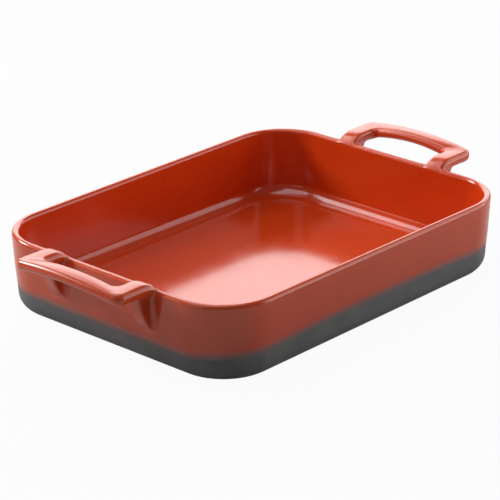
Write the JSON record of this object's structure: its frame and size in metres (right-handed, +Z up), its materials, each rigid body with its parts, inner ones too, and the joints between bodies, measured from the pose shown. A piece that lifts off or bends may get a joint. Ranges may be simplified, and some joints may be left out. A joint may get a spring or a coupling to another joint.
{
  "type": "roasting dish",
  "caption": "Rectangular stoneware roasting dish, glazed inside and on its upper walls over a bare dark base, with a fixed loop handle at each end.",
  "frame": {"origin": "on the table, under the middle of the tub", "axes": "+X along the dish, from one handle to the other; +Y across it; +Z up"},
  "size_m": [0.4072, 0.25, 0.073],
  "materials": {
    "bare_clay": "matte charcoal stoneware",
    "red_glaze": "glossy red glaze",
    "dried_slip": "matte, hidden in the joint"
  },
  "bodies": {
    "root": {"clay_tub": "bare_clay", "inner_glaze": "red_glaze", "outer_glaze": "red_glaze", "left_handle": "red_glaze", "right_handle": "red_glaze", "left_front_slip": "dried_slip", "left_back_slip": "dried_slip", "right_front_slip": "dried_slip", "right_back_slip": "dried_slip"}
  },
  "joints": []
}
